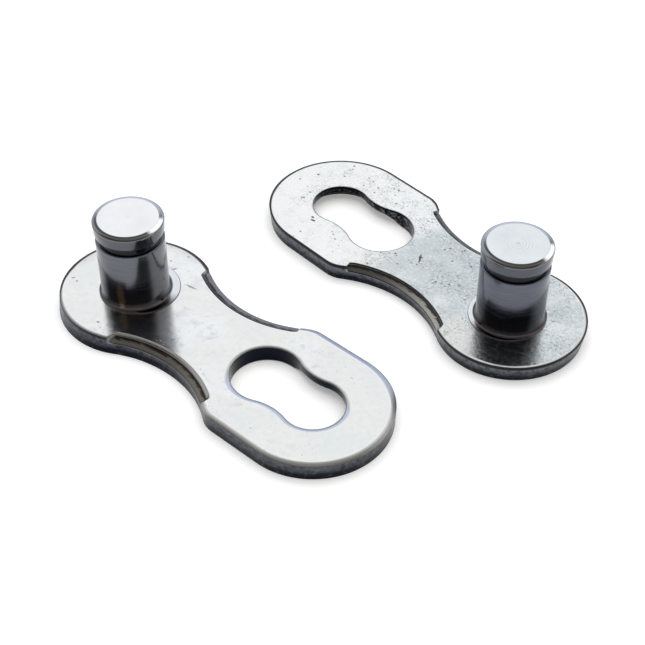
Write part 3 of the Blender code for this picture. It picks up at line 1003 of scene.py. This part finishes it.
def left_plate_finish(place):
    """Bright plating, nearly smooth: faint bluish stains, a few specks, nicks and smudges."""
    f = Finish("left_plate_plating")
    c = LEFT_COLORS
    where = f.spot(place)
    along = f.part(where, 0)
    lengthwise = f.span(along, *LENGTHWISE)
    far = f.value("far")

    face = f.ramp(f.noise(where, 0.33, 3.0, 0.55), c["face"])
    mottle = f.span(f.noise(where, 3.4, 3.0, 0.65), 0.38, 0.70, 0.0, 0.20)
    face = f.blend(mottle, face, c["mottle"])
    stain = f.span(f.noise(where, 1.5, 2.0, 0.5, 0.7), 0.52, 0.78)
    stain = f.times(stain, f.span(f.noise(where, 0.31, 1.0), 0.44, 0.62))
    face = f.blend(f.times(stain, 0.50), face, c["stain"])
    # Painted highlight line along the edge
    face = f.laid(face, {"painted_sheen": c["painted_sheen"]})
    speck = f.span(f.noise(where, 8.0, 2.0, 0.6), 0.67, 0.73)
    speck = f.times(speck, f.span(f.noise(where, 0.7, 1.0), 0.5, 0.62))
    face = f.blend(f.times(speck, 0.7), face, c["speck"])
    nicks = f.dents(where, LEFT_NICKS, NICK_SOFT)
    face = f.blend(f.times(nicks, 0.72), face, c["nick"])
    smudges = f.dents(where, LEFT_SMUDGES, SMUDGE_SOFT)
    face = f.blend(f.times(smudges, 0.34), face, c["smudge"])

    near_floor = band_floor(f, where, *c["near_band"])
    far_floor = band_floor(f, where, *c["far_band"])
    # Rolled edge, band lip and band in near and far copies: painted light and shade, the far rolled edge
    # a painted reflection
    color = f.laid(face, {
        "roll": f.blend(far, f.ramp(lengthwise, c["near_roll"]), f.ramp(lengthwise, c["far_roll"])),
        "lip": f.blend(far, c["near_lip"], c["far_lip"]),
        "press": f.blend(far, near_floor, far_floor),
        "side": plate_walls(f, where, c["walls"])})
    # Painted dark outline along the top edge, a painted shade, towards the pin end
    painted_dark_line = f.times(f.value("painted_outline"), f.span(along, 8.5, 4.5, 0.0, 0.92))
    color = f.blend(painted_dark_line, color, c["line"])
    # Painted shade: the slot's walls near-black
    color = f.laid(color, {"slot": c["slot"]})

    rough = f.span(f.noise(where, 3.0, 4.0, 0.6), 0.2, 0.8, 0.13, 0.21)
    rough = f.plus(rough, f.times(f.value("roll"), 0.12))
    f.metal(color, rougher_edges(f, rough, 0.16))
    grain = f.times(f.noise(where, 22.0, 3.0, 0.6), 0.15)
    f.relief(f.less(grain, f.plus(nicks, speck)), 0.006 * MM, 0.5)
    return f.material


def right_plate_finish(place):
    """Bright plating, pitted all over with fine dark specks, greyer towards the waist and pin,
    creamy on one side, and cleaner beside the slot and at its end."""
    f = Finish("right_plate_plating")
    c = RIGHT_COLORS
    where = f.spot(place)
    along, across, height = (f.part(where, axis) for axis in range(3))

    cloud = f.span(f.noise(where, 0.45, 4.0, 0.6), 0.3, 0.7, -0.22, 0.22)
    face = f.ramp(f.plus(f.span(along, 11.5, 5.0, 0.0, 0.72), cloud), c["face"])
    cream = f.span(f.noise(where, 0.40, 2.0), 0.45, 0.65)
    face = f.blend(f.times(cream, f.span(across, 0.5, 3.0, 0.05, 0.6)), face, c["cream"])

    clean = f.times(f.span(across, 0.6, 2.6), f.span(along, 7.5, 9.5))
    clean = f.most(clean, f.span(along, 13.8, 15.6, 0.0, 0.8))
    crowd = f.span(f.noise(where, 0.8, 3.0, 0.6), 0.40, 0.60, 0.10, 1.0)
    crowd = f.times(crowd, f.span(clean, 0.0, 1.0, 1.0, 0.25))
    dense = f.times(crowd, f.span(along, 10.5, 6.5, 0.45, 0.85))
    grain = f.noise(where, 7.0, 3.0, 0.7, 0.4)
    face = f.blend(f.times(f.span(grain, 0.53, 0.64), dense), face, c["dark_grain"])
    face = f.blend(f.times(f.span(grain, 0.46, 0.34), 0.5), face, c["bright_grain"])
    mottle = f.span(f.noise(where, 1.6, 4.0, 0.65, 0.5), 0.52, 0.66)
    face = f.blend(f.times(mottle, f.span(along, 10.5, 7.0, 0.12, 0.5)), face, c["mottle"])
    etched = f.span(f.noise(where, 4.2, 3.0, 0.65, 1.2), 0.50, 0.60)
    face = f.blend(f.times(etched, f.times(crowd, 0.55)), face, c["etched"])

    bent = f.nudged(where, 6.0, 0.12)
    small = f.span(f.cells(bent, 3.8), 0.17, 0.31, 1.0, 0.0)
    small = f.times(small, f.span(f.noise(where, 2.3, 1.0), 0.50, 0.56))
    small = f.times(small, f.span(crowd, 0.3, 0.8, 0.0, 0.85))
    large = f.span(f.cells(bent, 1.7), 0.07, 0.13, 1.0, 0.0)
    large = f.times(large, f.span(f.noise(where, 1.3, 1.0), 0.48, 0.54))
    pits = f.most(small, f.times(large, 0.85))
    pits = f.times(pits, f.span(along, 0.0, 3.5, 0.35, 1.0))
    face = f.blend(pits, face, c["pit"])
    nicks = f.dents(where, RIGHT_NICKS, NICK_SOFT)
    face = f.blend(f.times(nicks, 0.9), face, c["nick"])

    near_floor = band_floor(f, where, *c["near_band"])
    near_floor = f.blend(f.span(along, 4.6, 7.8, 0.0, 0.72), near_floor, c["worn_band"])
    # Painted highlight line, painted shadow on the band's lip, and near and far band copies as painted
    # light and shade
    color = f.laid(face, {
        "painted_sheen": c["painted_sheen"],
        "roll": f.ramp(f.span(along, *LENGTHWISE), c["roll"]),
        "lip": c["lip"],
        "press": f.blend(f.value("far"), near_floor, band_floor(f, where, *c["far_band"])),
        "side": plate_walls(f, where, c["walls"])})
    # Painted dark outline along the top edge, a painted shade
    color = f.blend(f.times(f.value("painted_outline"), 0.94), color, c["line"])
    torn = f.span(f.noise(where, 5.0, 3.0, 0.7), 0.50, 0.62)
    torn = f.times(torn, f.span(along, 13.2, 12.4, 0.3, 1.0))
    torn = f.times(torn, f.span(height, 0.90, 0.74))
    # Painted shade: the slot's walls near-black, darkest near the face, with pale torn streaks
    color = f.laid(color, {"slot": f.blend(torn, f.ramp(height, c["slot"]), c["torn_slot"])})

    rough = f.span(f.noise(where, 4.0, 4.0, 0.6), 0.2, 0.8, 0.16, 0.27)
    f.metal(color, rougher_edges(f, rough, 0.14))
    f.relief(f.less(f.times(grain, -0.5), f.plus(nicks, pits)), 0.010 * MM, 0.6)
    return f.material


def pin_finish(name, place, look):
    """Ground pin: dark polished body with faint turning lines, painted darker low down as painted
    shade, less on the right, rounded rim painted dark in front and pale behind with a painted glint,
    bright faced end with fine rings, brownish foot, and a brown streak up from it, a painted reflection."""
    f = Finish(name)
    c = PIN_COLORS
    where = f.spot(place)
    height = f.part(where, 2)
    out = f.vector("LENGTH", f.vector("MULTIPLY", where, (1.0, 1.0, 0.0)))
    north = f.value("north")
    ground = f.value("ground")

    bright = look["end"]
    end = f.ramp(f.noise(where, 0.8, 3.0), [(0.3, shaded(bright, 0.92)), (0.7, bright)])
    turned = f.plus(f.times(out, 40.0), f.times(f.noise(where, 1.5, 2.0), 9.0))
    strong = f.span(f.noise(where, 1.1, 2.0), 0.35, 0.65, 0.3, 1.0)
    strong = f.times(f.span(out, 1.5, 0.25), strong)
    ring = f.times(f.span(f.math("SINE", turned), -1.0, 1.0), strong)
    end = f.blend(f.times(ring, look["ringed"]), end, shaded(bright, 0.66))
    heart = f.span(out, 0.05, 0.16, 1.0, 0.0)
    end = f.blend(f.times(heart, look["ringed"]), end, shaded(bright, 0.60))

    lines = f.noise(f.vector("MULTIPLY", where, (0.5, 0.5, 9.0)), 1.6, 4.0, 0.6)
    side = f.ramp(lines, [(0.3, shaded(look["body"], 0.84)), (0.7, shaded(look["body"], 1.14))])
    # Painted shade: darker low down, only above the plate, less on the right
    black, left_over = look["painted_low_shading"]
    painted_low_shade = f.span(f.plus(height, f.span(lines, 0.3, 0.7, -0.3, 0.3)), 2.9, 2.2, 0.0, black)
    painted_low_shade = f.times(painted_low_shade, f.span(f.value("east"), 0.68, 0.86, 1.0, left_over))
    painted_low_shade = f.times(painted_low_shade, f.span(height, 0.90, 1.00))
    side = f.blend(painted_low_shade, side, c["painted_low_shade"])
    head = f.span(height, HEAD_BOTTOM - 0.05, HEAD_BOTTOM + 0.05, 0.0, 0.28)
    side = f.blend(head, side, c["head"])
    warm = f.times(f.span(height, 2.2, 1.1, 0.0, 0.6), f.noise(where, 1.2, 2.0))
    side = f.blend(warm, side, c["warm"])
    # Painted reflection: a brown streak up from the foot
    away = f.vector("LENGTH", f.chart(where, BROWN_REFLECTION_AT, BROWN_REFLECTION_SIZE))
    away = f.plus(away, f.span(f.noise(where, 4.0, 2.0), 0.3, 0.7, -0.15, 0.15))
    side = f.blend(f.span(away, 0.5, 1.2, look["painted_brown_reflection_strength"], 0.0), side, c["painted_brown_reflection"])
    # Lip dark in front and pale behind: painted light and shade
    lip = f.blend(f.span(north, 0.18, 0.42), c["near_lip"], c["far_lip"])
    side = f.laid(side, {"foot": c["foot"], "lip": lip})
    # Painted shade in the groove, deeper on the near side
    shadowed = f.times(f.value("groove"), f.span(north, 0.42, 0.12, 0.15, 0.92))
    side = f.blend(shadowed, side, c["groove"])

    # Rim painted dark on the near side and pale and bluish at the back, with a painted dark line at its
    # inner edge in front: painted light and shade
    rim = f.ramp(north, c["rim"])
    edge = f.span(height, PIN_TOP - 0.030, PIN_TOP - 0.006)
    rim = f.blend(f.times(edge, f.span(north, 0.7, 0.4, 0.0, 0.8)), rim, c["painted_rim_line"])
    # Painted highlight: a bright spot on the rim's inner part
    painted_glint = f.times(f.value("painted_glint"), f.span(height, PIN_TOP - 0.085, PIN_TOP - 0.045))
    rim = f.blend(painted_glint, rim, c["painted_glint"])
    color = f.laid(side, {"rim": rim, "ground": end})

    polish = f.most(ground, f.most(f.value("rim"), f.value("foot")))
    f.metal(color, f.less(f.span(lines, 0.2, 0.8, 0.13, 0.18), f.times(polish, 0.04)))
    cut = f.plus(f.times(f.times(ring, ground), look["ringed"]), f.times(lines, 0.10))
    f.relief(cut, 0.0025 * MM, 0.5)
    return f.material


def floor_sheet():
    """Plain pale floor, a flat square round the origin; it shows white to the eye and in the
    metal, and keeps the soft shadow under the object."""
    h = FLOOR_HALF
    mesh = bpy.data.meshes.new("floor")
    mesh.from_pydata([(-h, -h, 0.0), (h, -h, 0.0), (h, h, 0.0), (-h, h, 0.0)], [], [(0, 1, 2, 3)])
    f = Finish("floor_paper")
    f.feed(f.shader.inputs["Base Color"], FLOOR_COLOR)
    f.shader.inputs["Roughness"].default_value = FLOOR_ROUGH
    f.shader.inputs["Specular IOR Level"].default_value = 0.0
    ray = f.node("ShaderNodeLightPath", {})
    seen = f.most(ray["Is Camera Ray"], f.most(ray["Is Glossy Ray"], ray["Is Transmission Ray"]))
    glow = f.node("ShaderNodeEmission", {"Strength": f.times(seen, FLOOR_GLOW)})[0]
    both = f.node("ShaderNodeAddShader", {0: f.shader.outputs[0], 1: glow})[0]
    f.feed(f.tree.nodes["Material Output"].inputs["Surface"], both)
    mesh.materials.append(f.material)
    obj = placed("floor", mesh)


def studio_light():
    """Soft light from behind and above, as from a large bright screen: full towards the back,
    half overhead, bluish low at the back, dim on the viewer's side but for a paler strip near
    the floor, and a warm panel high on the right."""
    world = bpy.data.worlds.new("studio")
    bpy.context.scene.world = world
    world.use_nodes = True
    sky = Recipe(world.node_tree)
    ray = sky.node("ShaderNodeTexCoord", {})["Generated"]
    east, north, up = (sky.part(ray, axis) for axis in range(3))
    front = sky.blend(sky.span(up, 0.46, 0.60), SKY_FRONT_LOW, SKY_FRONT)
    raised = sky.plus(up, sky.times(sky.most(north, 0.0), 0.4))
    overhead = sky.blend(sky.span(raised, 0.82, 0.92), front, SKY_TOP)
    screen = sky.blend(sky.span(up, 0.10, 0.42), SKY_LOW, SKY_SCREEN)
    light = sky.blend(sky.span(north, 0.02, 0.36), overhead, screen)
    panel = sky.times(sky.span(up, 0.40, 0.52), sky.span(up, 0.88, 0.78))
    panel = sky.times(sky.span(east, 0.65, 0.73), panel)
    light = sky.blend(panel, light, SKY_EAST)
    sky.feed(sky.tree.nodes["Background"].inputs["Color"], light)


def aimed(obj, target):
    """Turns a lamp or a camera to look at a place."""
    obj.rotation_euler = (Vector(target) - obj.location).to_track_quat("-Z", "Y").to_euler()


def soft_box():
    """A large lamp overhead that shapes the soft shadow on the floor."""
    lamp = bpy.data.lights.new("soft_box", "AREA")
    lamp.shape = "SQUARE"
    lamp.size = SOFT_BOX_SIDE
    lamp.energy = SOFT_BOX_WATTS
    obj = placed("soft_box", lamp)
    obj.location = SOFT_BOX_AT
    obj.visible_glossy = False
    aimed(obj, (0.0, 0.0, 0.0))


def viewer():
    """Camera at the photograph's viewing angle."""
    camera = bpy.data.cameras.new("viewer")
    camera.sensor_width = SENSOR_WIDE
    camera.lens = LENS_LONG
    camera.clip_start = NEAR_CLIP
    camera.clip_end = FAR_CLIP
    obj = placed("viewer", camera)
    obj.location = Vector(EYE_AT) * MM
    aimed(obj, Vector(LOOK_AT) * MM)
    bpy.context.scene.camera = obj


def main():
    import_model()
    dressed = (
        ("left_plate", plate_piece("left_plate_plated", LEFT, LEFT_LOOK), left_plate_finish(LEFT)),
        ("right_plate", plate_piece("right_plate_plated", RIGHT, RIGHT_LOOK), right_plate_finish(RIGHT)),
        ("left_pin", pin_piece("left_pin_ground", LEFT, LEFT_PIN),
         pin_finish("left_pin_steel", LEFT, LEFT_PIN)),
        ("right_pin", pin_piece("right_pin_ground", RIGHT, RIGHT_PIN),
         pin_finish("right_pin_steel", RIGHT, RIGHT_PIN)))
    for node, piece, finish in dressed:
        piece.data.materials.append(finish)
        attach(piece, "root")
        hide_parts(node)
    floor_sheet()
    studio_light()
    soft_box()
    viewer()
    bpy.context.scene.view_settings.view_transform = "Standard"


main()
